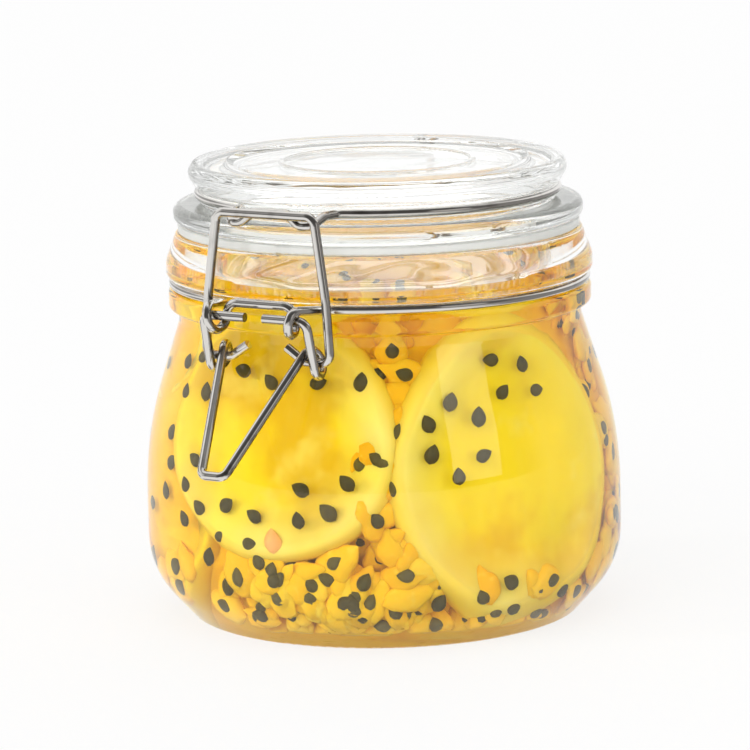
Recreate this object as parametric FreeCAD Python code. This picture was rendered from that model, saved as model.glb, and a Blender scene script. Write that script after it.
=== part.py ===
import FreeCAD, Part
import math
import os

# Clip-top glass jar, millimetres. Origin: centre of the foot, on the jar's axis, +Z up.
# The clasp is at the front, -Y, and the lid's hinge at the back, +Y.
# Points of the wires are (t, u, z): t sideways, u outwards from the axis, z up.

# jar body
belly_radius = 55.0
belly_low_z = 11.2        # corner where the lower side turns upright
belly_low_round = 34.0
belly_high_z = 41.8       # corner where the side leans in to the shoulder
belly_high_round = 92.0
foot_radius = 45.0
foot_round = 1.6
foot_ring_width = 7.5
push_up = 1.0             # how far the middle of the underside is lifted
wall = 3.6
floor_thickness = 4.8
floor_round = 5.0

# jar neck, from the waist upwards
waist_radius = 46.4
waist_z = 68.4
waist_round = 3.0
waist_height = 2.9
low_bead_radius = 48.7
low_bead_height = 4.7
bead_round = 1.5
hollow_round = 0.7        # inner corners between beads and grooves
neck_groove_radius = 46.3
groove_side_gap = 0.2
groove_gap = 0.15         # between a ring wire and the floor of its groove
main_bead_radius = 49.1
main_bead_height = 10.4
main_bead_low = 3.8       # the widest ring above the bead's underside
rim_radius = 46.7
rim_round = 1.2
mouth_radius = 41.2
neck_corner_rise = 4.4    # above the waist, where the inside starts to widen
neck_corner_round = 8.0

# seal and lid
seal_thickness = 2.1
seal_inset = 0.5          # inside the rim's edge
seal_gap = 0.05           # the seal rides with the lid, just over the rim
flange_radius = 47.1
flange_height = 4.4
flange_round = 1.9
lid_groove_radius = 40.0
lid_groove_height = 3.9
disc_low_radius = 42.0
disc_radius = 43.9
disc_top_radius = 42.4
disc_height = 5.6
disc_bulge = 3.2          # the widest ring above the disc's underside
plug_gap = 1.7            # between the lid's plug and the mouth
plug_wall = 4.0
plug_depth = 2.6
pane_thickness = 4.4      # glass at the middle of the lid
dish_radius = 33.0
dish_depth = 0.8
ridge_radius = 22.5
ridge_width = 1.2
ridge_height = 0.5

# filling
headspace = 9.3           # from the syrup's level up to the rim
filling_gap = 0.05

# wires
wire_radius = 1.05
run_gap = 0.5             # from a pin up to the top of the eye that it turns in
strand_gap = 0.35         # sideways, between the strands of an eye or a coil
side_gap = 0.3            # sideways, between an eye and the leg or arm beside it
tangent_run = 3.0         # straight piece where a wire leaves its ring
bend_radius = 2.2

# neck wire
eye_play = 0.75           # how much wider an eye's hole is than a pin, in radius
eye_side = 8.35           # from the middle to an eye's inner strand
eye_out = 8.4             # an eye's middle outside the lid's flange
eye_offset = 1.4          # front eyes below the ring, rear eyes above it
eye_leave_side = 16.4
butt_gap = 0.3            # between the wire's two ends, at the back

# lever
pin_inner = 2.4           # the pins reach in to here from each side
arm_splay = 0.3           # how much further out the arms are at the coils
coil_play = 0.6           # how much wider a coil's hole is than the bail's tail, in radius
coil_drop = 10.1
coil_clear = 0.6          # between the coils and the glass
grip_angle = 46.7         # below level
grip_length = 32.5
grip_tip_half = 2.9
grip_tip_round = 3.6

# bail
bail_gap = 0.4            # sideways, between the bail's legs and the lever's arms
bar_out = 2.9             # the bar's middle line outside the lid's flange
bar_half = 12.5
bar_rise = 0.65           # above the lid wire's ring
bail_mid_side = 15.1
bail_mid_share = 0.43     # of the leg's height
bail_mid_round = 24.0
tail_inner = 5.0
tail_turn_side = 9.5
tail_rise = 3.0

# lid wire
lid_ring_gap = 1.2        # between the ring and the flange
catch_gap = 0.25          # between the catch's middle and the bar
catch_low_back = 2.0      # lowest runs of the catch behind the bar
catch_low_drop = 2.45     # and below it
catch_edge_side = 11.4    # where the wire starts down over the flange's edge
catch_low_outer = 10.4
catch_low_inner = 7.6
catch_top_half = 4.4
catch_leave_side = 15.2
rear_leave_side = 15.5
rear_leg_gap = 0.15       # between the lid wire's legs and what they come down past

# heights, from the waist up
low_bead_z = waist_z + waist_height
groove_z = low_bead_z + low_bead_height
groove_height = 2 * (wire_radius + groove_side_gap)
main_bead_z = groove_z + groove_height
rim_z = main_bead_z + main_bead_height
seal_z = rim_z + seal_gap
filling_z = rim_z - headspace
flange_z = seal_z + seal_thickness
lid_groove_z = flange_z + flange_height
disc_z = lid_groove_z + lid_groove_height
lid_top_z = disc_z + disc_height
pane_z = lid_top_z - dish_depth - pane_thickness

# what follows from them
plug_radius = mouth_radius - plug_gap
lean = math.atan((belly_radius - waist_radius) / (waist_z - belly_high_z))
neck_ring_radius = neck_groove_radius + groove_gap + wire_radius
neck_ring_z = groove_z + groove_height / 2
lid_ring_radius = lid_groove_radius + groove_gap + wire_radius
lid_ring_z = lid_groove_z + lid_ring_gap + wire_radius
strand_step = 2 * wire_radius + strand_gap
eye_radius = 2 * wire_radius + eye_play
coil_radius = 2 * wire_radius + coil_play
leg_side = eye_side + strand_step + 2 * wire_radius + side_gap
arm_low_side = leg_side + arm_splay
eye_u = flange_radius + eye_out
front_eye_z = neck_ring_z - eye_offset
rear_eye_z = neck_ring_z + eye_offset
lever_pivot_z = front_eye_z + eye_play - run_gap
lid_pivot_z = rear_eye_z + eye_play - run_gap
coil_z = lever_pivot_z - coil_drop
coil_middle_side = arm_low_side - strand_step / 2
coil_glass_radius = waist_radius + (waist_z - coil_z) * math.tan(lean)
coil_glass_u = math.sqrt(coil_glass_radius ** 2 - coil_middle_side ** 2)
coil_u = coil_glass_u + (coil_radius + wire_radius + coil_clear) / math.cos(lean)
bail_pivot_z = coil_z + coil_play - run_gap
leg_low_side = arm_low_side + 2 * wire_radius + bail_gap
bar_u = flange_radius + bar_out
bar_z = lid_ring_z + bar_rise

FRONT = -1
BACK = 1


def corner_arc(before, corner, after, radius):
    """Where an arc of this radius starts and ends at a corner, and the arc itself."""
    run_in = (corner - before).normalize()
    run_out = (after - corner).normalize()
    half = run_in.getAngle(run_out) / 2
    room = 0.49 * min(corner.distanceToPoint(before), corner.distanceToPoint(after))
    radius = min(radius, room / math.tan(half))
    first = corner - run_in * radius * math.tan(half)
    last = corner + run_out * radius * math.tan(half)
    inward = (run_out - run_in).normalize()
    middle = corner + inward * radius * (1 / math.cos(half) - 1)
    return first, last, Part.Arc(first, middle, last).toShape()


def run(start, end):
    return Part.LineSegment(start, end).toShape()


def rounded_path(start, corners, end):
    """Edges from start to end through (point, radius) corners."""
    points = [start] + [point for point, radius in corners] + [end]
    edges = []
    for i, (corner, radius) in enumerate(corners, 1):
        first, last, arc = corner_arc(points[i - 1], corner, points[i + 1], radius)
        edges += [run(start, first), arc]
        start = last
    return edges + [run(start, end)]


def turned(corners):
    """Solid of revolution about Z from a closed outline of (radius, height, rounding)."""
    points = [FreeCAD.Vector(r, 0, z) for r, z, rounding in corners]
    starts, ends, arcs = [], [], []
    for i, (r, z, rounding) in enumerate(corners):
        first, last, arc = points[i], points[i], None
        if rounding:
            after = points[(i + 1) % len(points)]
            first, last, arc = corner_arc(points[i - 1], points[i], after, rounding)
        starts.append(first)
        ends.append(last)
        arcs.append(arc)
    edges = []
    for i, arc in enumerate(arcs):
        following = starts[(i + 1) % len(starts)]
        edges += [arc] if arc else []
        edges.append(run(ends[i], following))
    face = Part.Face(Part.Wire(edges))
    return face.revolve(FreeCAD.Vector(), FreeCAD.Vector(0, 0, 1), 360)


def at(side, t, u, z):
    return FreeCAD.Vector(t, side * u, z)


def ring_point(side, radius, leave, z):
    """Point of a ring wire at this sideways distance, and the corner where it heads off."""
    angle = math.asin(leave / radius)
    u = radius * math.cos(angle)
    on_ring = at(side, leave, u, z)
    headed = at(side, leave - tangent_run * math.cos(angle), u + tangent_run * math.sin(angle), z)
    return on_ring, headed


def ring_arc(radius, z, start, end):
    """The right-hand side of a ring wire, from one point to the other through +X."""
    return Part.Arc(start, FreeCAD.Vector(radius, 0, z), end).toShape()


def wire_rod(right_half):
    """Round wire along the right half of a path and its mirror image."""
    plane = FreeCAD.Vector(1, 0, 0)
    left_half = [edge.mirror(FreeCAD.Vector(), plane) for edge in right_half]
    path = Part.Wire(Part.__sortEdges__(left_half + right_half))
    first = path.OrderedEdges[0]
    start = path.OrderedVertexes[0].Point
    along = first.tangentAt(first.getParameterByLength(0))
    section = Part.Wire([Part.Circle(start, along, wire_radius).toShape()])
    return path.makePipeShell([section], True, False)


def loop_corners(u, z, radius, heading, turn, sides, step, flip=1):
    """Corners of a wire that turns clockwise about (u, z), in the plane of u and z.

    heading is its direction as it arrives and turn the angle it turns through, in degrees.
    sides gives the sideways place of the first corner, and each one after is a step further in.
    """
    count = 3
    part = math.radians(turn / count)
    out = radius / math.cos(part / 2)
    corners = []
    for i in range(count):
        angle = math.radians(heading + 90) - (i + 0.5) * part
        corners.append((sides - i * step, u + out * math.cos(angle), z + flip * out * math.sin(angle)))
    return corners


def neck_eye(side, eye_z, flip):
    """Corners of an eye in the neck wire, from the ring inwards to the middle strand."""
    outer_side = eye_side + strand_step
    corners = loop_corners(eye_u, eye_z, eye_radius, 0, 270, outer_side, strand_step / 3, flip)
    corners.append((eye_side, eye_u - eye_radius, eye_z + flip * eye_radius))
    return [(at(side, *corner), eye_radius) for corner in corners]


def make_neck_wire():
    front_start, front_corner = ring_point(FRONT, neck_ring_radius, eye_leave_side, neck_ring_z)
    back_start, back_corner = ring_point(BACK, neck_ring_radius, eye_leave_side, neck_ring_z)
    middle_u = eye_u - eye_radius
    front_middle = at(FRONT, 0, middle_u, front_eye_z + eye_radius)
    back_middle = at(BACK, butt_gap / 2, middle_u, rear_eye_z - eye_radius)
    front = rounded_path(
        front_start, [(front_corner, bend_radius)] + neck_eye(FRONT, front_eye_z, 1), front_middle
    )
    back = rounded_path(
        back_start, [(back_corner, bend_radius)] + neck_eye(BACK, rear_eye_z, -1), back_middle
    )
    return wire_rod(front + [ring_arc(neck_ring_radius, neck_ring_z, front_start, back_start)] + back)


def make_lid_wire():
    front_start, front_corner = ring_point(FRONT, lid_ring_radius, catch_leave_side, lid_ring_z)
    back_start, back_corner = ring_point(BACK, lid_ring_radius, rear_leave_side, lid_ring_z)
    low_u = bar_u - catch_low_back
    low_z = bar_z - catch_low_drop
    top_u = bar_u - 2 * wire_radius - catch_gap
    catch = [
        (front_corner, bend_radius),
        (at(FRONT, catch_edge_side, flange_radius - 2 * flange_round, lid_ring_z), bend_radius),
        (at(FRONT, catch_low_outer, low_u, low_z), bend_radius),
        (at(FRONT, catch_low_inner, low_u, low_z), bend_radius),
        (at(FRONT, catch_top_half, top_u, bar_z), bend_radius),
    ]
    leg_u = max(main_bead_radius, flange_radius) + rear_leg_gap + wire_radius
    legs = [
        (back_corner, bend_radius),
        (at(BACK, leg_side, leg_u, lid_ring_z), bend_radius),
        (at(BACK, leg_side, eye_u, lid_pivot_z), bend_radius),
    ]
    front = rounded_path(front_start, catch, at(FRONT, 0, top_u, bar_z))
    back = rounded_path(back_start, legs, at(BACK, pin_inner, eye_u, lid_pivot_z))
    return wire_rod(front + [ring_arc(lid_ring_radius, lid_ring_z, front_start, back_start)] + back)


def make_lever_wire():
    arm_u = coil_u - eye_u
    arm_z = coil_z - lever_pivot_z
    to_coil = math.degrees(math.atan2(arm_z, arm_u))
    heading = to_coil + math.degrees(math.asin(coil_radius / math.hypot(arm_u, arm_z)))
    turn = (heading + grip_angle) % 360
    coil = loop_corners(coil_u, coil_z, coil_radius, heading, turn, arm_low_side, strand_step / 2)
    down = math.radians(grip_angle)
    tip_u = coil_u + coil_radius * math.sin(down) + grip_length * math.cos(down)
    tip_z = coil_z + coil_radius * math.cos(down) - grip_length * math.sin(down)
    corners = [(at(FRONT, leg_side, eye_u, lever_pivot_z), bend_radius)]
    corners += [(at(FRONT, *corner), coil_radius) for corner in coil]
    corners += [(at(FRONT, grip_tip_half, tip_u, tip_z), grip_tip_round)]
    start = at(FRONT, pin_inner, eye_u, lever_pivot_z)
    return wire_rod(rounded_path(start, corners, at(FRONT, 0, tip_u, tip_z)))


def make_bail_wire():
    mid_u = coil_u + (bar_u - coil_u) * bail_mid_share
    mid_z = bail_pivot_z + (bar_z - bail_pivot_z) * bail_mid_share
    corners = [
        (at(FRONT, tail_turn_side, coil_u, bail_pivot_z), bend_radius),
        (at(FRONT, leg_low_side, coil_u, bail_pivot_z), bend_radius),
        (at(FRONT, bail_mid_side, mid_u, mid_z), bail_mid_round),
        (at(FRONT, bar_half, bar_u, bar_z), bend_radius),
    ]
    start = at(FRONT, tail_inner, coil_u, bail_pivot_z + tail_rise)
    return wire_rod(rounded_path(start, corners, at(FRONT, 0, bar_u, bar_z)))


def cavity():
    """Outline of the jar's inside, from the neck down to the middle of the floor."""
    side_radius = belly_radius - wall
    rise = math.atan2(belly_low_z, belly_radius - foot_radius)
    floor_radius = foot_radius + floor_thickness / math.tan(rise) - wall / math.sin(rise)
    high_z = belly_high_z - wall * math.tan(lean / 2)
    low_z = belly_low_z + wall * math.tan(math.pi / 4 - rise / 2)
    return [
        (mouth_radius, waist_z + neck_corner_rise, neck_corner_round),
        (side_radius, high_z, belly_high_round - wall),
        (side_radius, low_z, belly_low_round - wall),
        (floor_radius, floor_thickness, floor_round),
        (0, floor_thickness, 0),
    ]


def shrunk(corners, gap):
    """The cavity's outline moved off the glass by a gap, from the top of the neck downwards."""
    walls = []
    for (r, z, rounding), (next_r, next_z, following) in zip(corners, corners[1:]):
        length = math.hypot(next_r - r, next_z - z)
        across, along = (next_z - z) / length, (r - next_r) / length
        walls.append((across, along, across * r + along * z + gap))
    moved = []
    for (a, b, c), (d, e, f), (r, z, rounding) in zip(walls, walls[1:], corners[1:]):
        share = a * e - b * d
        turn = math.copysign(gap, share)
        moved.append(((c * e - b * f) / share, (a * f - c * d) / share, rounding + turn))
    return moved


def make_jar_glass():
    foot_inner = foot_radius - foot_ring_width
    outside = [
        (0, push_up, 0),
        (foot_inner - push_up, push_up, hollow_round),
        (foot_inner, 0, hollow_round / 2),
        (foot_radius, 0, foot_round),
        (belly_radius, belly_low_z, belly_low_round),
        (belly_radius, belly_high_z, belly_high_round),
        (waist_radius, waist_z, waist_round),
        (waist_radius, low_bead_z, hollow_round),
        (low_bead_radius, low_bead_z, bead_round),
        (low_bead_radius, groove_z, bead_round),
        (neck_groove_radius, groove_z, hollow_round),
        (neck_groove_radius, main_bead_z, hollow_round),
        (main_bead_radius, main_bead_z, bead_round),
        (main_bead_radius, main_bead_z + main_bead_low, main_bead_low),
        (rim_radius, rim_z, rim_round),
        (mouth_radius, rim_z, rim_round),
    ]
    return turned(outside + cavity())


def make_filling():
    sides = shrunk([(mouth_radius, rim_z, 0)] + cavity(), filling_gap)
    top = [(0, filling_z, 0), (mouth_radius - filling_gap, filling_z, 0)]
    return turned(top + sides + [(0, floor_thickness + filling_gap, 0)])


def make_seal():
    outer = rim_radius - seal_inset
    inner = plug_radius + groove_gap
    return turned(
        [
            (inner, seal_z, 0),
            (outer, seal_z, seal_inset),
            (outer, flange_z, seal_inset),
            (inner, flange_z, 0),
        ]
    )


def make_lid_glass():
    plug_z = flange_z - plug_depth
    plug_inner = plug_radius - plug_wall
    plug_round = plug_wall / 4
    dish_z = lid_top_z - dish_depth
    ridge_z = dish_z + ridge_height
    ridge_inner = ridge_radius - ridge_width
    return turned(
        [
            (0, pane_z, 0),
            (plug_inner, pane_z, plug_wall),
            (plug_inner, plug_z, plug_round),
            (plug_radius, plug_z, plug_round),
            (plug_radius, flange_z, 0),
            (flange_radius, flange_z, flange_round),
            (flange_radius, lid_groove_z, flange_round),
            (lid_groove_radius, lid_groove_z, hollow_round),
            (lid_groove_radius, disc_z, hollow_round),
            (disc_low_radius, disc_z, hollow_round),
            (disc_radius, disc_z + disc_bulge, disc_bulge),
            (disc_top_radius, lid_top_z, bead_round),
            (dish_radius + 2 * dish_depth, lid_top_z, dish_depth),
            (dish_radius, dish_z, dish_depth),
            (ridge_radius, dish_z, ridge_height / 2),
            (ridge_radius, ridge_z, ridge_height / 2),
            (ridge_inner, ridge_z, ridge_height / 2),
            (ridge_inner, dish_z, ridge_height / 2),
            (0, dish_z, 0),
        ]
    )


solids = {
    "jar_glass": make_jar_glass(),
    "neck_wire": make_neck_wire(),
    "syrup_filling": make_filling(),
    "lid_glass": make_lid_glass(),
    "seal_ring": make_seal(),
    "lid_wire": make_lid_wire(),
    "lever_wire": make_lever_wire(),
    "bail_wire": make_bail_wire(),
}

os.makedirs("parts", exist_ok=True)
for node, solid in solids.items():
    solid.exportStep(f"parts/{node}.step")
    box = solid.BoundBox
    print(f"{node}: valid {solid.isValid()}, {solid.Volume / 1000:.2f} cm3, top {box.ZMax:.1f} mm")
print(f"lever pivot y {-eye_u:.3f} z {lever_pivot_z:.3f}, bail pivot y {-coil_u:.3f} z {bail_pivot_z:.3f},"
      f" lid pivot y {eye_u:.3f} z {lid_pivot_z:.3f}")
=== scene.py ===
import bpy
import math
import random
from mathutils import Matrix, Quaternion, Vector, noise


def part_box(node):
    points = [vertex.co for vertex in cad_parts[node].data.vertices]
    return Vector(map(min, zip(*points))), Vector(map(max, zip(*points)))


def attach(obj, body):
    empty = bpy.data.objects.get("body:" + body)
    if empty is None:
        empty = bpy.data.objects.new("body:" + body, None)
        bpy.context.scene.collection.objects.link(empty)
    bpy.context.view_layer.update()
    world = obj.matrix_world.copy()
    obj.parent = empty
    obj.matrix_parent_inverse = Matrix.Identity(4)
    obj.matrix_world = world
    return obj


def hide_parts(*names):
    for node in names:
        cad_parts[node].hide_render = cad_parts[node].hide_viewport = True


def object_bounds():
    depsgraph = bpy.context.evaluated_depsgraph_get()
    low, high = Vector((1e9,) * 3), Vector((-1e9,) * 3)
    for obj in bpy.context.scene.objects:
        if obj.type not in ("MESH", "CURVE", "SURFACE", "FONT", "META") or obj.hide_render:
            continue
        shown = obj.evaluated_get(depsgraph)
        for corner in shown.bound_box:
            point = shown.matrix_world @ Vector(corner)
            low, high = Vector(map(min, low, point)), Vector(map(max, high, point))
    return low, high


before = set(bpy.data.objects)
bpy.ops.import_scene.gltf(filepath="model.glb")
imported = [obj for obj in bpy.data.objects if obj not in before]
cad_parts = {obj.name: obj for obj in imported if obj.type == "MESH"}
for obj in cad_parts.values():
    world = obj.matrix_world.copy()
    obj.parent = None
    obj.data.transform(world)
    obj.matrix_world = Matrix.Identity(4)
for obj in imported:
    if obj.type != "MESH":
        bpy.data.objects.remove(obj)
cadLow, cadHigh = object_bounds()
mm = 0.001
tiny = 1e-6  # metres, for what should be equal
print("frame loaded")


class Wire:  # one output socket, so that shader maths reads as a formula
    def __init__(self, nodes, socket):
        self.nodes = nodes
        self.socket = socket

    def __add__(self, other):
        return self.nodes.maths("ADD", self, other)

    def __radd__(self, other):
        return self.nodes.maths("ADD", other, self)

    def __sub__(self, other):
        return self.nodes.maths("SUBTRACT", self, other)

    def __rsub__(self, other):
        return self.nodes.maths("SUBTRACT", other, self)

    def __mul__(self, other):
        return self.nodes.maths("MULTIPLY", self, other)

    def __rmul__(self, other):
        return self.nodes.maths("MULTIPLY", other, self)

    def clamped(self):
        return self.nodes.maths("ADD", self, 0.0, clamp=True)

    def between(self, low, high):  # smooth step from low to high
        return self.nodes.add(
            "ShaderNodeMapRange",
            {"interpolation_type": "SMOOTHSTEP"},
            {"Value": self, "From Min": low, "From Max": high},
        )


class Nodes:  # the node tree of a material or the world
    def __init__(self, owner):
        owner.use_nodes = True
        self.tree = owner.node_tree
        self.tree.nodes.clear()

    def add(self, kind, settings=None, sockets=None, output=0):
        node = self.tree.nodes.new(kind)
        for name, value in (settings or {}).items():
            setattr(node, name, value)
        for name, value in (sockets or {}).items():
            self.feed(node.inputs[name], value)
        return Wire(self, node.outputs[output])

    def feed(self, socket, value):
        if isinstance(value, Wire):
            self.tree.links.new(value.socket, socket)
        elif socket.type == "RGBA":
            socket.default_value = (*value, 1)
        else:
            socket.default_value = value

    def maths(self, operation, first, second, clamp=False):
        settings = {"operation": operation, "use_clamp": clamp}
        return self.add("ShaderNodeMath", settings, {0: first, 1: second})

    def mix(self, share, first, second):  # of two colours, which are a Mix node's inputs 6 and 7
        settings = {"data_type": "RGBA"}
        return self.add("ShaderNodeMix", settings, {0: share, 6: first, 7: second}, 2)

    def coordinates(self, kind="Object"):
        return self.add("ShaderNodeTexCoord", output=kind)

    def ray(self, kind):
        return self.add("ShaderNodeLightPath", output=f"Is {kind} Ray")

    def stored(self, layer):  # a value that the mesh keeps for each point
        return self.add("ShaderNodeAttribute", {"attribute_name": layer}, output="Fac")

    def height(self):
        return self.add("ShaderNodeSeparateXYZ", {}, {"Vector": self.coordinates()}, "Z")

    def dot(self, first, second):
        settings = {"operation": "DOT_PRODUCT"}
        return self.add("ShaderNodeVectorMath", settings, {0: first, 1: second}, "Value")

    def noise(self, scale, detail=2.0, place=None):
        place = place or self.coordinates()
        sockets = {"Vector": place, "Scale": scale, "Detail": detail}
        return self.add("ShaderNodeTexNoise", {}, sockets)

    def stretched(self, scale):  # object coordinates, scaled along each axis
        sockets = {0: self.coordinates(), 1: scale}
        return self.add("ShaderNodeVectorMath", {"operation": "MULTIPLY"}, sockets)

    def bump(self, height, strength, distance):
        sockets = {"Height": height, "Strength": strength, "Distance": distance}
        return self.add("ShaderNodeBump", {}, sockets)

    def finish(self, shader, volume=None, kind="ShaderNodeOutputMaterial"):
        node = self.tree.nodes.new(kind)
        self.tree.links.new(shader.socket, node.inputs["Surface"])
        if volume:
            self.tree.links.new(volume.socket, node.inputs["Volume"])


def dress(thing, material):
    thing.data.materials.clear()
    thing.data.materials.append(material)


def outwards(azimuth, elevation):  # degrees to the right of the front, degrees up
    turn, rise = math.radians(azimuth), math.radians(elevation)
    level = math.cos(rise)
    return Vector((math.sin(turn) * level, -math.cos(turn) * level, math.sin(rise)))


def makeCamera():
    place = {
        "azimuth": 30.0,
        "elevation": 10.4,
        "distance": 1.0,
        "aimHeight": 0.054,
        "lens": 207.3,
        "sensor": 36,
        "tilt": -1.2,  # about the line of sight, in degrees
        "shiftX": -0.0089,
    }
    back = outwards(place["azimuth"], place["elevation"])
    data = bpy.data.cameras.new("camera")
    data.lens = place["lens"]
    data.sensor_width = place["sensor"]
    data.shift_x = place["shiftX"]
    data.clip_start = 0.01
    data.clip_end = 50
    camera = bpy.data.objects.new("camera", data)
    camera.rotation_mode = "QUATERNION"
    camera.location = Vector((0, 0, place["aimHeight"])) + back * place["distance"]
    roll = Quaternion((0, 0, 1), math.radians(place["tilt"]))
    camera.rotation_quaternion = (-back).to_track_quat("-Z", "Y") @ roll
    bpy.context.scene.collection.objects.link(camera)
    bpy.context.scene.camera = camera
    return back


towardsCamera = makeCamera()
print("camera made")


def makeWorld(front):
    sky = {
        "level": 0.6,  # what soft surfaces receive
        "backdrop": 1.0,  # the white that the camera and glass see all round
        "dimEnd": 0.3,  # gloss sees the same white, falling to this at the front
        "edges": (0.0, 0.5),  # cosine from the front at which the fall starts and is full
        "bounces": 32,  # light is led a long way round inside thick glass
        "glossBounces": 24,
    }
    world = bpy.data.worlds.new("studio")
    bpy.context.scene.world = world
    n = Nodes(world)
    flat = Vector((front.x, front.y, 0)).normalized()
    facing = n.dot(n.coordinates("Generated"), flat)
    drop = sky["backdrop"] - sky["dimEnd"]
    mirrored = sky["backdrop"] - facing.between(*sky["edges"]) * drop
    camera = n.ray("Camera")
    glossy = n.ray("Glossy")
    through = n.ray("Transmission")
    gloss = glossy * (1.0 - through)  # a refracted ray counts as glossy too
    soft = (1.0 - (camera + glossy + through)).clamped()
    level = (camera + through) * sky["backdrop"] + gloss * mirrored + soft * sky["level"]
    background = n.add("ShaderNodeBackground", {}, {"Color": (1, 1, 1), "Strength": level})
    n.finish(background, kind="ShaderNodeOutputWorld")
    world.cycles.sampling_method = "NONE"
    cycles = bpy.context.scene.cycles
    cycles.max_bounces = sky["bounces"]
    cycles.glossy_bounces = sky["glossBounces"]
    cycles.transmission_bounces = sky["bounces"]
    cycles.transparent_max_bounces = sky["bounces"]


suns = {  # azimuth and elevation in degrees, strength, spread in degrees
    "overheadSoft": (10, 66, 0.5, 60),
    "frontSoft": (0, 20, 0.85, 50),
    "sideSun": (-50, 12, 0.75, 6),
    "backSoft": (205, 28, 0.5, 60),
}


def makeSun(name, azimuth, elevation, strength, spread):
    data = bpy.data.lights.new(name, "SUN")
    data.energy = strength
    data.angle = math.radians(spread)
    sun = bpy.data.objects.new(name, data)
    sun.rotation_mode = "QUATERNION"
    sun.rotation_quaternion = (-outwards(azimuth, elevation)).to_track_quat("-Z", "Y")
    sun.visible_glossy = False  # gloss shows the plain world instead
    bpy.context.scene.collection.objects.link(sun)


def makePanel():  # the window that the jar's side reflects
    window = {
        "azimuth": 75,
        "elevation": 14,
        "distance": 0.9,
        "aimHeight": 0.05,
        "size": (0.4, 0.42),
        "power": 0.9,
    }
    data = bpy.data.lights.new("windowPanel", "AREA")
    data.shape = "RECTANGLE"
    data.size, data.size_y = window["size"]
    data.energy = window["power"]
    panel = bpy.data.objects.new("windowPanel", data)
    back = outwards(window["azimuth"], window["elevation"])
    panel.location = Vector((0, 0, window["aimHeight"])) + back * window["distance"]
    panel.rotation_mode = "QUATERNION"
    panel.rotation_quaternion = (-back).to_track_quat("-Z", "Y")
    bpy.context.scene.collection.objects.link(panel)


def makeFloor():
    floor = {
        "reach": 6.0,
        "below": 0.05 * mm,
        "colour": (0.97, 0.97, 0.97),
        "white": 0.8,  # share of plain white that the camera, gloss and glass see
    }
    reach = floor["reach"]
    mesh = bpy.data.meshes.new("floor")
    corners = [(-reach, -reach, 0), (reach, -reach, 0), (reach, reach, 0), (-reach, reach, 0)]
    mesh.from_pydata(corners, [], [(0, 1, 2, 3)])
    thing = bpy.data.objects.new("floor", mesh)
    bpy.context.scene.collection.objects.link(thing)
    thing.location.z = cadLow.z - floor["below"]
    material = bpy.data.materials.new("floorPaper")
    n = Nodes(material)
    seen = (n.ray("Camera") + n.ray("Glossy") + n.ray("Transmission")).clamped()
    paper = n.add("ShaderNodeBsdfDiffuse", {}, {"Color": floor["colour"]})
    white = n.add("ShaderNodeEmission", {}, {"Color": (1, 1, 1), "Strength": 1.0})
    n.finish(n.add("ShaderNodeMixShader", {}, {0: seen * floor["white"], 1: paper, 2: white}))
    dress(thing, material)


makeWorld(towardsCamera)
for name, values in suns.items():
    makeSun(name, *values)
makePanel()
makeFloor()
print("light and floor made")


def makeGlass(name, colour, wetBelow=None, cavity=None):
    look = {
        "ior": 1.5,
        "waviness": 0.2,
        "waveDepth": 0.3 * mm,
        "grain": 60.0,  # scale of the waves and of the haze
        "haze": 0.015,  # the most roughness
    }
    material = bpy.data.materials.new(name)
    n = Nodes(material)
    waves = n.noise(look["grain"], 1.0)
    shader = n.add(
        "ShaderNodeBsdfPrincipled",
        {},
        {
            "Base Color": colour,
            "Roughness": n.noise(look["grain"], 3.0) * look["haze"],
            "IOR": look["ior"],
            "Transmission Weight": 1.0,
            "Normal": n.bump(waves, look["waviness"], look["waveDepth"]),
        },
    )
    if cavity:  # the inner face that syrup wets doesn't shine or bend light
        sockets = {0: cavity, 1: n.coordinates()}
        inwards = n.add("ShaderNodeVectorMath", {"operation": "SUBTRACT"}, sockets)
        side = n.dot(inwards, n.add("ShaderNodeNewGeometry", output="True Normal"))
        back = n.add("ShaderNodeNewGeometry", output="Backfacing")
        facing = side * (1.0 - 2.0 * back)  # the same from both sides of the face
        wet = n.maths("GREATER_THAN", facing, 0.0) * n.maths("LESS_THAN", n.height(), wetBelow)
        clear = n.add("ShaderNodeBsdfTransparent", {}, {"Color": (1, 1, 1)})
        shader = n.add("ShaderNodeMixShader", {}, {0: wet, 1: shader, 2: clear})
    n.finish(shader)
    return material


def makeSealMaterial():
    look = {
        "colour": (0.88, 0.89, 0.86),
        "cloudy": (0.93, 0.93, 0.9),
        "cloudScale": 90.0,
        "roughness": (0.3, 0.1),  # the least, and how much the clouds add
        "ior": 1.41,
        "clear": 0.55,
    }
    material = bpy.data.materials.new("clearSilicone")
    n = Nodes(material)
    cloud = n.noise(look["cloudScale"], 3.0)
    smooth, uneven = look["roughness"]
    n.finish(
        n.add(
            "ShaderNodeBsdfPrincipled",
            {},
            {
                "Base Color": n.mix(cloud, look["colour"], look["cloudy"]),
                "Roughness": smooth + cloud * uneven,
                "IOR": look["ior"],
                "Transmission Weight": look["clear"],
            },
        )
    )
    return material


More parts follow.
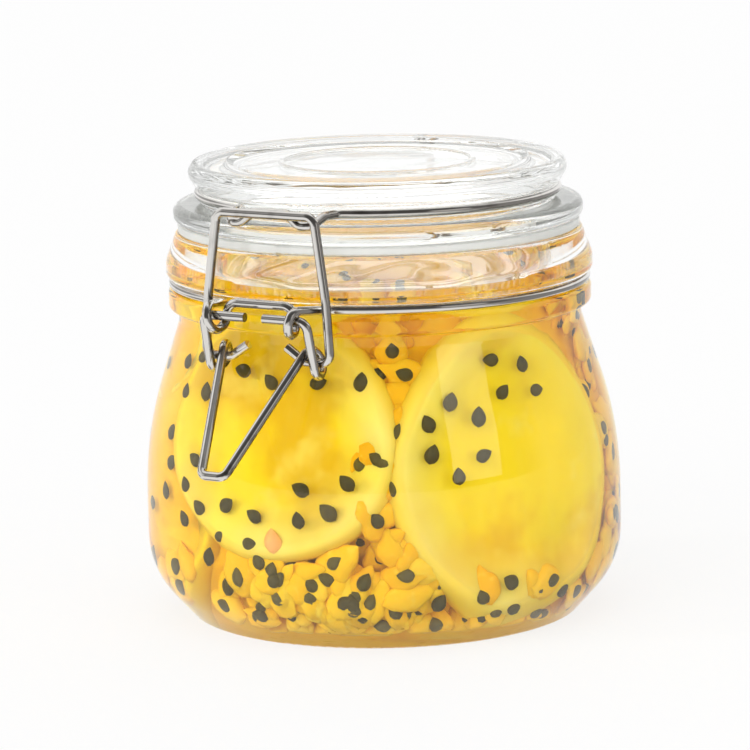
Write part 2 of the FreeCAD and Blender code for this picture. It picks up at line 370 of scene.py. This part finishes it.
def makeSteel():
    look = {
        "colour": (0.72, 0.7, 0.67),
        "dark": (0.09, 0.08, 0.07),
        "paintedReflectionLines": (0.42, 0.58),  # noise at which a painted dark reflection line starts and is full
        "reflectionLineShare": 0.85,
        "stains": (0.55, 0.75),
        "stainShare": 0.2,
        "roughness": (0.08, 0.1),  # the least, and how much the streaks add
        "streakDepth": 0.05 * mm,
    }
    material = bpy.data.materials.new("steelWithPaintedReflections")
    n = Nodes(material)
    around = n.coordinates("Normal")  # which turns round the wire
    paintedReflectionLines = n.noise(1.5, 1.0, around)  # so these painted dark reflection lines run along it, round every bend
    streaks = n.noise(900.0, 3.0)
    paintedReflection = paintedReflectionLines.between(*look["paintedReflectionLines"]) * look["reflectionLineShare"]
    stained = n.noise(160.0, 4.0).between(*look["stains"]) * look["stainShare"]
    smooth, uneven = look["roughness"]
    n.finish(
        n.add(
            "ShaderNodeBsdfPrincipled",
            {},
            {
                # painted reflection: dark lines along the wire stand in for mirrored dark
                # surroundings; the stains are random
                "Base Color": n.mix((paintedReflection + stained).clamped(), look["colour"], look["dark"]),
                "Metallic": 1.0,
                "Roughness": smooth + streaks * uneven,
                "Normal": n.bump(streaks, 0.15, look["streakDepth"]),
            },
        )
    )
    return material


fillLow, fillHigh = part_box("syrup_filling")
middle = (0.0, 0.0, 0.5 * (fillLow.z + fillHigh.z))
glassLooks = {
    "jar_glass": makeGlass("jarGlass", (0.97, 0.98, 0.97), fillHigh.z, middle),
    "lid_glass": makeGlass("lidGlass", (0.9, 0.912, 0.905)),
}
steelWithPaintedReflections = makeSteel()
for name, material in glassLooks.items():
    dress(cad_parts[name], material)
    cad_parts[name].visible_shadow = False
for name in ("neck_wire", "lid_wire", "lever_wire", "bail_wire"):
    dress(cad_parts[name], steelWithPaintedReflections)
dress(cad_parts["seal_ring"], makeSealMaterial())
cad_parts["seal_ring"].visible_shadow = False
print("glass, seal and wires finished")


def readWall():
    rings = {}
    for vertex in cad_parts["syrup_filling"].data.vertices:
        radius = math.hypot(vertex.co.x, vertex.co.y)
        height = round(vertex.co.z, 5)
        rings[height] = max(radius, rings.get(height, 0))
    return sorted(rings.items())


wallRings = readWall()


def wallRadius(height):
    height = min(max(height, wallRings[0][0]), wallRings[-1][0])
    for (low, lowRadius), (high, highRadius) in zip(wallRings, wallRings[1:]):
        if height <= high:
            share = (height - low) / (high - low) if high > low else 0
            return lowRadius + (highRadius - lowRadius) * share
    return wallRings[-1][1]


def inJar(angle, depth, height):  # degrees round the jar, metres in from the glass, metres up
    radius = wallRadius(height) - depth
    turn = math.radians(angle)
    return Vector((radius * math.cos(turn), radius * math.sin(turn), height))


def inSyrup(spot, clear):  # the nearest place that keeps clear of the glass and the surface
    height = min(max(spot.z, fillLow.z + clear), fillHigh.z - 0.2 * mm)
    most = wallRadius(height) - clear
    radius = math.hypot(spot.x, spot.y)
    share = min(1.0, most / radius) if radius else 1.0
    return Vector((spot.x * share, spot.y * share, height))


def makeMesh(name, points, faces, layers=None):
    mesh = bpy.data.meshes.new(name)
    mesh.from_pydata([tuple(point) for point in points], [], faces)
    for layer, values in (layers or {}).items():
        mesh.attributes.new(layer, "FLOAT", "POINT").data.foreach_set("value", values)
    mesh.shade_smooth()
    thing = bpy.data.objects.new(name, mesh)
    bpy.context.scene.collection.objects.link(thing)
    return thing


def sweptFaces(rows, columns):  # quads of a closed tube of rings, capped at both ends
    faces = []
    for row in range(rows - 1):
        for column in range(columns):
            after = (column + 1) % columns
            low, high = row * columns, (row + 1) * columns
            faces.append((low + column, low + after, high + after, high + column))
    faces.append(tuple(reversed(range(columns))))
    faces.append(tuple((rows - 1) * columns + column for column in range(columns)))
    return faces


def makeSyrup():
    shape = {
        "intoGlass": 0.2 * mm,  # so that no air gap shows
        "around": 160,
        "narrowest": 0.25,  # rings of the wall under this share of the top one are left out
        "footMiddle": 0.02,  # the innermost ring of the foot, as a share of the next
        "footCorner": 0.3,  # share of intoGlass by which the foot's corner grows
        "meniscus": 1.1 * mm,
        "meniscusReach": 1.6 * mm,
        "rings": 12,  # of the meniscus, and of the flat top
        "ringStep": 0.5 * mm,
        "ripple": 0.12 * mm,
        "rippleScale": 120,
    }
    into = shape["intoGlass"]
    least = shape["narrowest"] * wallRings[-1][1]
    wall = [(height, radius) for height, radius in wallRings if radius > least]
    outline = [(shape["footMiddle"] * wall[0][1], fillLow.z - into)]
    outline.append((wall[0][1] + into * shape["footCorner"], wall[0][0] - into))
    outline += [(radius + into, height) for height, radius in wall[1:]]
    edge = outline[-1][0]
    outline[-1] = (edge, fillHigh.z + shape["meniscus"])
    for step in range(1, shape["rings"] + 1):
        inwards = step * shape["ringStep"]
        climb = shape["meniscus"] * math.exp(-inwards / shape["meniscusReach"])
        outline.append((edge - inwards, fillHigh.z + climb))
    flat = edge - shape["rings"] * shape["ringStep"]
    for step in range(1, shape["rings"]):
        outline.append((flat * (1 - step / shape["rings"]), fillHigh.z))
    points = []
    for radius, height in outline:
        for column in range(shape["around"]):
            turn = 2 * math.pi * column / shape["around"]
            spot = Vector((radius * math.cos(turn), radius * math.sin(turn), height))
            if height >= fillHigh.z - tiny and radius < edge - tiny:
                spot.z += shape["ripple"] * noise.noise(spot * shape["rippleScale"])
            points.append(spot)
    syrup = makeMesh("syrup", points, sweptFaces(len(outline), shape["around"]))
    look = {
        "colour": (1.0, 0.97, 0.8),
        "ior": 1.4,
        "shineIor": 2.4,  # of the coat on the open top, so that it shines
        "haze": 0.05,  # the most roughness
        "topDepth": 0.3 * mm,  # how far below the level the open top's look begins
        "soak": (1.0, 0.94, 0.03),  # the colour that deep syrup takes
        "thickness": 110.0,  # how fast it takes it, for each metre
    }
    material = bpy.data.materials.new("goldenSyrup")
    n = Nodes(material)
    openTop = n.maths("GREATER_THAN", n.height(), fillHigh.z - look["topDepth"])
    top = n.add(
        "ShaderNodeBsdfPrincipled",
        {},
        {
            "Base Color": look["colour"],
            "Roughness": n.noise(40.0, 2.0) * look["haze"],
            "IOR": look["ior"],
            "Transmission Weight": 1.0,
            "Coat Weight": 1.0,
            "Coat IOR": look["shineIor"],
        },
    )
    clear = n.add("ShaderNodeBsdfTransparent", {}, {"Color": (1, 1, 1)})
    lit = 1.0 - n.ray("Shadow")  # light passes the open top without a shadow
    surface = n.add("ShaderNodeMixShader", {}, {0: openTop * lit, 1: clear, 2: top})
    sockets = {"Color": look["soak"], "Density": look["thickness"]}
    n.finish(surface, n.add("ShaderNodeVolumeAbsorption", {}, sockets))
    dress(syrup, material)
    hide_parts("syrup_filling")
    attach(syrup, "jar")


makeSyrup()
print("syrup made")


clearOfGlass = 0.3 * mm  # how near the glass loose pulp and seeds come


class Heap:  # many things of one kind, joined in one mesh
    def __init__(self, name, *layers):
        self.name = name
        self.points = []
        self.faces = []
        self.layers = {layer: [] for layer in layers}

    def join(self, points, faces, **values):  # each layer gets a value for every point
        start = len(self.points)
        self.points += points
        self.faces += [tuple(start + index for index in face) for face in faces]
        for layer, value in values.items():
            self.layers[layer] += value

    def put(self, shape, place, turn, tint, dent=0.0):
        points, faces = shape
        moved = []
        for point in points:
            spot = turn @ point
            if dent:
                spot = spot * (1 + dent * noise.noise(point * 300 + place * 900))
            moved.append(inSyrup(place + spot, clearOfGlass))
        self.join(moved, faces, tint=[tint] * len(points))

    def finish(self, material):
        thing = makeMesh(self.name, self.points, self.faces, self.layers)
        dress(thing, material)
        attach(thing, "jar")


def smoothLine(points, count):  # a rounded line through the points
    line = []
    last = len(points) - 1
    for step in range(count):
        place = step * last / (count - 1)
        index = min(int(place), last - 1)
        share = place - index
        before, start, end, after = (points[min(max(index + k, 0), last)] for k in (-1, 0, 1, 2))
        line.append(
            tuple(
                0.5
                * (
                    2 * b
                    + (c - a) * share
                    + (2 * a - 5 * b + 4 * c - d) * share**2
                    + (3 * b - a - 3 * c + d) * share**3
                )
                for a, b, c, d in zip(before, start, end, after)
            )
        )
    return line


def fleshMaterial():
    look = {
        # pale colour of the painted edge highlight, also used for the random pale patches
        "rim": (1.0, 0.85, 0.3),
        "dish": (1.0, 0.79, 0.03),
        "skin": (1.0, 0.67, 0.01),
        "deep": (0.78, 0.5, 0.01),
        "deepShare": 0.85,
        "paleShare": 0.7,
        "softDepth": 3 * mm,  # how far light goes into the flesh
        "fibreDepth": 0.4 * mm,
    }
    material = bpy.data.materials.new("fruitFlesh")
    n = Nodes(material)
    rim = n.stored("rim")
    dish = n.stored("dish")
    clouds = n.noise(32.0, 4.0).between(0.45, 0.6)
    fibres = n.noise(260.0, 4.0, n.stretched((1.0, 1.0, 0.25)))
    pale = n.noise(70.0, 3.0).between(0.55, 0.75)
    inner = n.mix(clouds * look["deepShare"], look["dish"], look["deep"])
    inner = n.mix(pale * look["paleShare"], inner, look["rim"])
    colour = n.mix(dish, look["skin"], inner)
    # painted highlight: the stored band lays the pale colour on one side of each half's edge
    colour = n.mix((rim + (fibres - 0.5) * 0.3).clamped(), colour, look["rim"])
    n.finish(
        n.add(
            "ShaderNodeBsdfPrincipled",
            {},
            {
                "Base Color": colour,
                "Roughness": 0.35 + fibres * 0.25,
                "Specular IOR Level": 0.08,  # sunk in syrup, it hardly shines
                "Subsurface Weight": 0.4,
                "Subsurface Radius": (1.0, 0.9, 0.4),
                "Subsurface Scale": look["softDepth"],
                "Normal": n.bump(fibres, 0.25, look["fibreDepth"]),
            },
        )
    )
    return material


def addHalf(heap, angle, height, wide, tall, lean, setBack, highlightTurn, seed):
    shape = {
        "around": 96,
        "along": 44,
        "middle": 0.004,  # the smallest ring, as a share of the half
        "wobble": 0.05,
        "dent": 0.7,
        "fromGlass": 0.5,  # in mm
        "overFloor": 0.8 * mm,
        "overSyrup": 3 * mm,  # how far above the level a half may stand
        "reach": 51 * mm,  # middle radius of the jar's inside
    }
    profile = [  # share of the way out from the middle, depth from the glass, in mm
        (0.0, 4.4),
        (0.35, 4.2),
        (0.62, 3.4),
        (0.78, 1.8),
        (0.87, 0.6),
        (0.94, 1.0),
        (1.0, 4.0),
        (0.97, 8.0),
        (0.78, 14.0),
        (0.4, 18.0),
        (0.0, 19.0),
    ]
    line = smoothLine(profile, shape["along"])
    points, rimHighlights, dishes = [], [], []
    leanTurn = math.radians(lean)
    for row, (share, depth) in enumerate(line):
        share = max(share, shape["middle"])
        for column in range(shape["around"]):
            turn = 2 * math.pi * column / shape["around"]
            ring = Vector((math.cos(turn), math.sin(turn), seed * 3.1))
            wobble = 1 + shape["wobble"] * noise.noise(ring * 1.6)
            across = wide * share * wobble * math.cos(turn)
            upward = tall * share * wobble * math.sin(turn)
            sideways = across * math.cos(leanTurn) - upward * math.sin(leanTurn)
            rise = across * math.sin(leanTurn) + upward * math.cos(leanTurn)
            spot = Vector((sideways, rise, depth * mm)) * 70
            dent = shape["dent"] * noise.noise(spot + Vector((seed * 7.3, 0, 0)))
            z = max(height + rise, fillLow.z + shape["overFloor"])
            z = min(z, fillHigh.z + shape["overSyrup"])
            inwards = (shape["fromGlass"] + max(depth + dent * min(depth, 3), 0) + setBack) * mm
            points.append(inJar(angle + math.degrees(sideways / shape["reach"]), inwards, z))
            ring = Vector((math.cos(turn), math.sin(turn), seed))
            # painted highlight: the pale edge band is strongest at the turn given for each half and
            # fades to nothing on the far side
            shows = 0.5 + 0.5 * math.cos(turn - math.radians(highlightTurn))
            shows *= 0.7 + 0.6 * noise.noise(ring * 2.2)
            highlightBand = math.exp(-(((share - 0.8) / 0.2) ** 2)) * (shows if depth < 3.6 else 0)
            rimHighlights.append(highlightBand)
            dishes.append(1.0 if share < 0.87 and depth < 5 else 0.0)
    faces = sweptFaces(len(line), shape["around"])
    faces = [tuple(reversed(face)) for face in faces]  # as the rings run inwards
    heap.join(points, faces, rim=rimHighlights, dish=dishes)


halves = {
    # degrees round the jar, height, half width and half height in mm, lean in degrees, set back
    # in mm, and the turn at which the painted edge highlight shows most
    "right": (-22, 39.5, 33, 33.5, 4, 0, 195),
    "left": (-93, 48, 34, 28, -10, 0, -30),
    "low": (-140, 25, 28, 20, 14, 3.5, 90),
    "back": (150, 44, 31, 30, 8, 0, 160),
    "side": (62, 42, 33, 31, -6, 0, 20),
    "high": (-152, 62, 24, 15, 6, 3, 0),
}


def makeHalves():
    heap = Heap("fruitHalves", "rim", "dish")
    for seed, places in enumerate(halves.values()):
        angle, height, wide, tall, lean, setBack, highlightTurn = places
        addHalf(heap, angle, height * mm, wide * mm, tall * mm, lean, setBack, highlightTurn, seed)
    heap.finish(fleshMaterial())


makeHalves()
print("fruit halves made")


def dropShape(length, width, thick, rows=9, columns=12):  # a pip's outline: round at one end
    points = []
    for row in range(rows):
        along = row / (rows - 1)
        girth = math.sin(math.pi * along**0.8) ** 0.75 if 0 < along < 1 else 0.03
        for column in range(columns):
            turn = 2 * math.pi * column / columns
            points.append(
                Vector(
                    (
                        girth * width / 2 * math.cos(turn),
                        girth * thick / 2 * math.sin(turn),
                        (along - 0.5) * length,
                    )
                )
            )
    return points, sweptFaces(rows, columns)


def againstGlass(angle, roll):  # lies flat to the glass, turned in its own plane
    turn = math.radians(angle)
    out = Vector((math.cos(turn), math.sin(turn), 0))
    side = Vector((math.sin(turn), -math.cos(turn), 0))
    base = Matrix((side, out, Vector((0, 0, 1)))).transposed()
    return base @ Matrix.Rotation(math.radians(roll), 3, "Y")


def anyTurn(dice):
    turn = Quaternion([dice.gauss(0, 1) for part in range(4)])
    return turn.normalized().to_matrix()


def seedMaterial():
    look = {"dark": (0.045, 0.04, 0.018), "pale": (0.16, 0.13, 0.05), "pitDepth": 0.1 * mm}
    material = bpy.data.materials.new("blackSeed")
    n = Nodes(material)
    pits = n.noise(1500.0, 2.0)
    share = (n.stored("tint") * 0.7 + pits * 0.3).clamped()
    n.finish(
        n.add(
            "ShaderNodeBsdfPrincipled",
            {},
            {
                "Base Color": n.mix(share, look["dark"], look["pale"]),
                "Roughness": 0.3 + pits * 0.3,
                "Specular IOR Level": 0.15,
                "Normal": n.bump(pits, 0.4, look["pitDepth"]),
            },
        )
    )
    return material


def sacMaterial():
    look = {
        "pale": (1.0, 0.72, 0.1),
        "gold": (1.0, 0.6, 0.015),
        "amber": (0.92, 0.5, 0.01),
        "salmon": (0.95, 0.5, 0.22),
        "veinShare": 0.5,
        "veinDepth": 0.3 * mm,
        "softDepth": 1.0 * mm,  # how far light goes into a sac
    }
    material = bpy.data.materials.new("pulpSac")
    n = Nodes(material)
    tint = n.stored("tint")
    veins = n.noise(420.0, 4.0)
    colour = n.mix(tint.between(0.0, 0.5), look["pale"], look["gold"])
    colour = n.mix(tint.between(0.5, 1.0), colour, look["amber"])
    colour = n.mix(tint.between(1.2, 1.4), colour, look["salmon"])
    veined = veins.between(0.55, 0.75) * look["veinShare"]
    n.finish(
        n.add(
            "ShaderNodeBsdfPrincipled",
            {},
            {
                "Base Color": n.mix(veined, colour, look["pale"]),
                "Roughness": 0.2 + veins * 0.2,
                "Specular IOR Level": 0.08,
                "Subsurface Weight": 0.3,
                "Subsurface Radius": (1.0, 0.8, 0.4),
                "Subsurface Scale": look["softDepth"],
                "Normal": n.bump(veins, 0.3, look["veinDepth"]),
            },
        )
    )
    return material


seedSizes = {  # length, width and thickness
    "front": (4.4 * mm, 3.3 * mm, 2.2 * mm),
    "back": (4.3 * mm, 3.2 * mm, 2.2 * mm),
    "inSac": (4.2 * mm, 3.1 * mm, 2.2 * mm),
    "top": (4.1 * mm, 3.0 * mm, 2.1 * mm),
}
seedSpread = {
    "fromGlass": 1.6 * mm,
    "apart": 6.5 * mm,
    "scatter": 0.6,  # share of each group's scatter that is one standard deviation
    "backCount": 60,
    "dent": 0.08,
}
seedGroups = {
    # degrees round the jar, height in mm, scatter in degrees and in mm, how many
    "leftHalfTop": (-123, 56, 7, 4, 4),
    "leftHalfSide": (-122, 38, 7, 6, 6),
    "leftHalfFoot": (-104, 26, 9, 4, 6),
    "underTheLever": (-78, 33, 7, 6, 4),
    "rightHalfTop": (-22, 58, 13, 5, 6),
    "rightHalfSide": (-45, 45, 6, 5, 4),
    "rightHalfFoot": (-28, 13, 13, 3, 6),
    "nearTheNeck": (-84, 61, 15, 4, 4),
}


def addSeedsAtGlass(heap):
    dice = random.Random(8)
    taken = []
    for angle, height, turned, raised, count in seedGroups.values():
        placed = 0
        while placed < count:
            around = dice.gauss(angle, seedSpread["scatter"] * turned)
            upward = dice.gauss(height, seedSpread["scatter"] * raised) * mm
            spot = inJar(around, seedSpread["fromGlass"], upward)
            if all((spot - other).length > seedSpread["apart"] for other in taken):
                taken.append(spot)
                placed += 1
    for spot in taken:
        angle = math.degrees(math.atan2(spot.y, spot.x))
        size = dice.uniform(0.9, 1.1)
        length, width, thick = seedSizes["front"]
        shape = dropShape(length * size, width * size, thick)
        turn = againstGlass(angle, dice.uniform(-90, 90))
        heap.put(shape, spot, turn, dice.random() * 0.4, seedSpread["dent"])
    for index in range(seedSpread["backCount"]):  # round the side and the back
        angle = dice.uniform(8, 225)
        height = dice.choice([dice.uniform(9, 24), dice.uniform(9, 70)])
        place = inJar(angle, dice.uniform(1.5, 2.6) * mm, height * mm)
        turn = againstGlass(angle, dice.uniform(-90, 90))
        shape = dropShape(*seedSizes["back"])
        heap.put(shape, place, turn, dice.random() * 0.5, seedSpread["dent"])


pulp = {
    # how many sacs lie in each part of the jar
    "onFloor": 105,
    "atFront": 50,
    "inFrontGap": 70,
    "inOtherGaps": 45,
    "underSurface": 80,
    "frontGap": -58,  # degrees round the jar
    "otherGaps": (20, 105, 195),
    "length": (7.5, 12),  # of a sac, in mm
    "width": (0.55, 0.72),  # as a share of the length
    "thickness": (0.28, 0.42),
    "seedShare": 0.62,  # sacs that show their seed
}


def addPulp(sacs, seeds):
    dice = random.Random(11)
    spots = []
    for index in range(pulp["onFloor"]):
        height = dice.triangular(6, 21, 8)
        spots.append((dice.uniform(0, 360), dice.uniform(2.5, 8) * mm, height * mm, 0.6))
    for index in range(pulp["atFront"]):
        height = dice.triangular(6, 24, 9)
        spots.append((dice.triangular(-108, -42, -70), dice.uniform(2, 6) * mm, height * mm, 0.6))
    for index in range(pulp["inFrontGap"]):
        angle, depth = dice.gauss(pulp["frontGap"], 3), dice.uniform(3, 13) * mm
        # painted shade: sacs in the front gap get a darker amber tint than sacs in the other gaps
        spots.append((angle, depth, dice.uniform(8, 74) * mm, 0.95))
    for gap in pulp["otherGaps"]:
        for index in range(pulp["inOtherGaps"]):
            height = dice.uniform(8, 74)
            spots.append((dice.gauss(gap, 3.5), dice.uniform(2.5, 10) * mm, height * mm, 0.5))
    for angle, depth, height, tint in spots:
        long = dice.uniform(*pulp["length"]) * mm
        thick = long * dice.uniform(*pulp["thickness"])
        shape = dropShape(long, long * dice.uniform(*pulp["width"]), thick, 11, 14)
        place = inJar(angle, max(depth, 0.5 * thick + 0.9 * mm), height)
        turn = againstGlass(angle + dice.gauss(0, 16), dice.uniform(-90, 90))
        sacs.put(shape, place, turn, min(tint + dice.uniform(-0.35, 0.3), 1.1), 0.35)
        if dice.random() < pulp["seedShare"]:  # its seed, half sunk in it
            pip = dropShape(*seedSizes["inSac"])
            place = place + turn @ Vector((0, 0.42 * thick, 0))
            seeds.put(pip, place, turn, dice.random(), seedSpread["dent"])
    for index in range(pulp["underSurface"]):
        long = dice.uniform(7, 12) * mm
        shape = dropShape(long, long * 0.6, long * 0.45)
        depth = dice.uniform(5, 36) * mm
        place = inJar(dice.uniform(0, 360), depth, fillHigh.z - 0.45 * long)
        sacs.put(shape, place, anyTurn(dice), 0.5 * dice.random(), 0.25)
        if index % 2:
            pip = dropShape(*seedSizes["top"])
            place = place + Vector((0, 0, 0.2 * long))
            seeds.put(pip, place, anyTurn(dice), dice.random(), seedSpread["dent"])
    paleSac = dropShape(6.5 * mm, 4.6 * mm, 3 * mm)  # one salmon pink sac low at the front
    sacs.put(paleSac, inJar(-89, 2.0 * mm, 25 * mm), againstGlass(-89, 10), 1.5, 0.1)


def makeCore(material):  # the dense pulp in the middle of the jar
    shape = {
        "around": 160,
        "rows": 64,
        "depth": 6.8 * mm,  # from the glass
        "foot": 0.6 * mm,
        "top": 1.0 * mm,
        "closer": 3.8 * mm,  # how much nearer the glass it comes at the far left
        "closerAt": 222,  # degrees round the jar
        "paintedShadeAt": -57,  # painted shade, darker amber in the gap between the two front halves
    }
    points = []
    low, high = fillLow.z + shape["foot"], fillHigh.z - shape["top"]
    for row in range(shape["rows"]):
        share = row / (shape["rows"] - 1)
        height = low + (high - low) * share
        girth = max(math.sin(math.pi * min(max(share, 0.004), 0.996)), 0.0) ** 0.08
        for column in range(shape["around"]):
            turn = 2 * math.pi * column / shape["around"]
            spot = Vector((math.cos(turn), math.sin(turn), height * 40))
            lump = 1 + 0.04 * noise.noise(spot * 3.1) + 0.025 * noise.noise(spot * 9)
            aside = (math.degrees(turn) - shape["closerAt"]) / 20
            closer = shape["closer"] * math.exp(-(aside**2))
            radius = (wallRadius(height) - shape["depth"] + closer) * girth * lump
            points.append(Vector((radius * math.cos(turn), radius * math.sin(turn), height)))
    tints = []
    for point in points:
        angle = math.degrees(math.atan2(point.y, point.x))
        # painted shade: the pulp's tint turns to darker amber in the gap between the two front
        # halves
        gap = math.exp(-(((angle - shape["paintedShadeAt"]) / 9) ** 2))
        tints.append(0.4 + 0.4 * noise.noise(point * 90) + 0.5 * gap)
    core = makeMesh("pulpCore", points, sweptFaces(shape["rows"], shape["around"]), {"tint": tints})
    dress(core, material)
    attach(core, "jar")


pulpLook = sacMaterial()
sacs = Heap("pulpSacs", "tint")
seeds = Heap("seeds", "tint")
makeCore(pulpLook)
addPulp(sacs, seeds)
addSeedsAtGlass(seeds)
sacs.finish(pulpLook)
seeds.finish(seedMaterial())
print("pulp and seeds made")


bpy.context.scene.view_settings.view_transform = "Standard"
